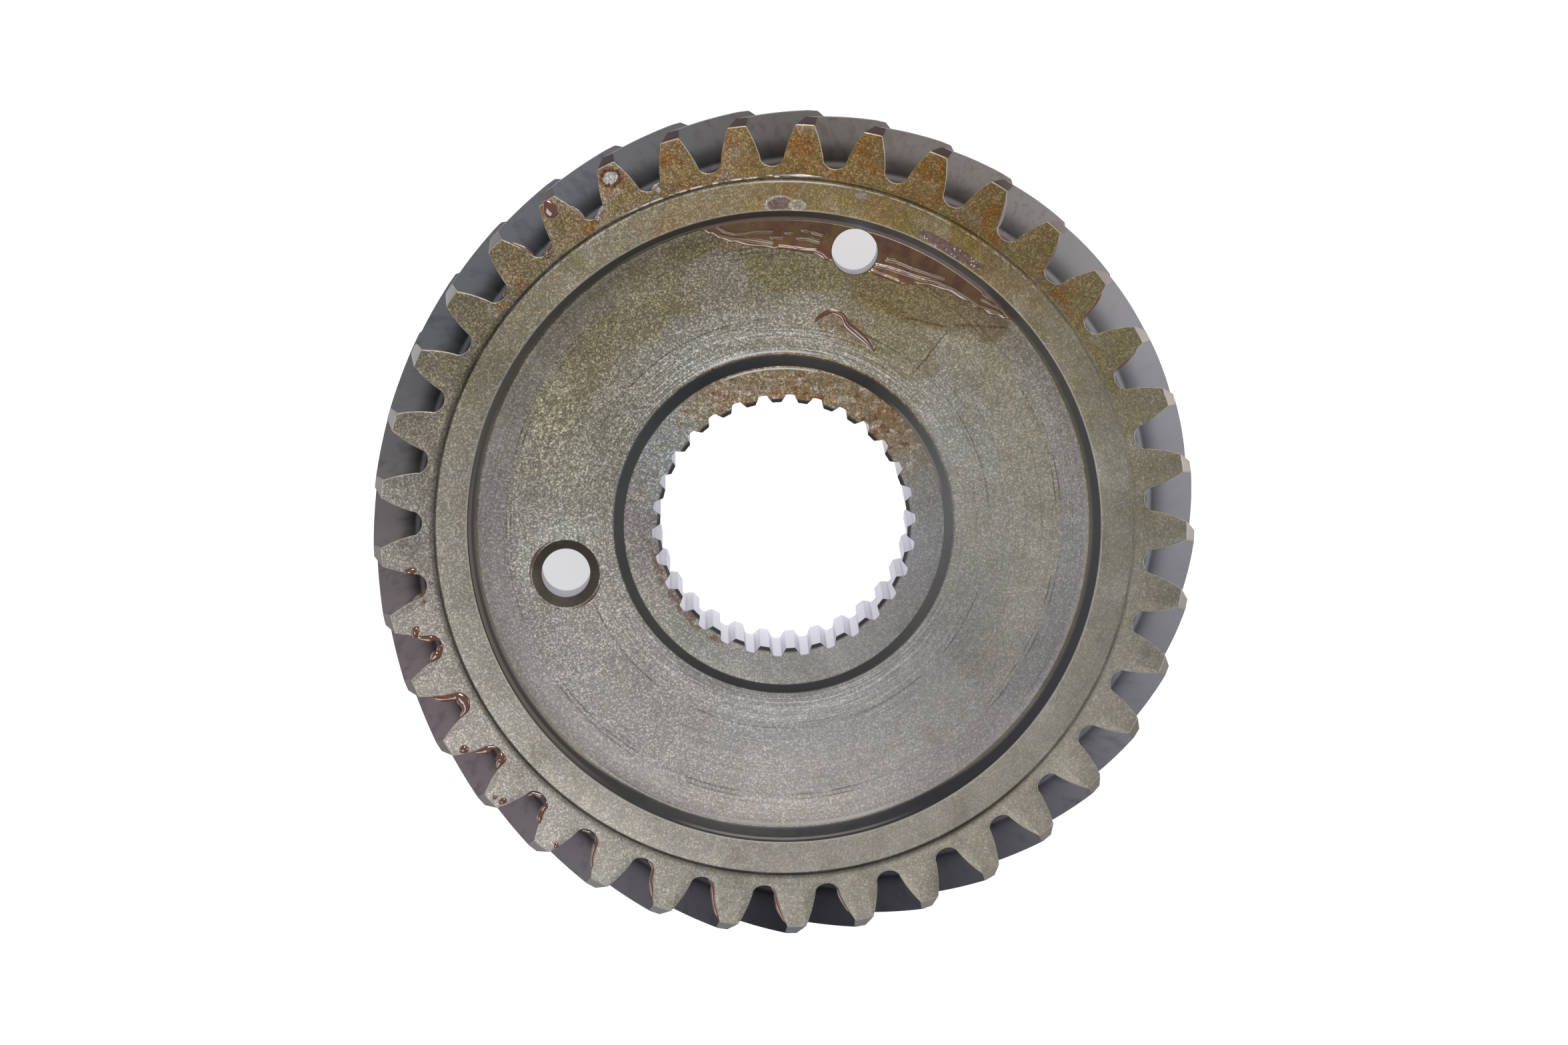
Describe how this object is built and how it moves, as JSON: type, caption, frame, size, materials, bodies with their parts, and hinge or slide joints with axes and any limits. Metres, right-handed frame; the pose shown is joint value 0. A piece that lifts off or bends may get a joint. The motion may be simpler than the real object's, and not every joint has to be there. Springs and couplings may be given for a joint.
{
  "type": "helical gear wheel",
  "caption": "Helical gear wheel with a flat recessed web, two oil holes and a raised hub with a splined bore.",
  "frame": {"origin": "on the gear axis, in the plane of the rear hub face, which is the lowest face", "axes": "+Z along the gear axis towards the toothed front side; +Y is the direction of the wheel's edge that the upper oil hole lies nearest to"},
  "size_m": [0.1246, 0.1246, 0.03],
  "materials": {
    "tooth_steel": "blasted steel end faces and ground dark flanks with an oil film",
    "land_steel": "turned and blasted, faint oil stains",
    "web_steel": "shot-blasted grey with fine turning rings and an oil puddle",
    "hub_steel": "turned and blasted, dried oil on the face"
  },
  "bodies": {
    "root": {"toothed_ring": "tooth_steel", "rim": "land_steel", "web": "web_steel", "splined_hub": "hub_steel"}
  },
  "joints": []
}
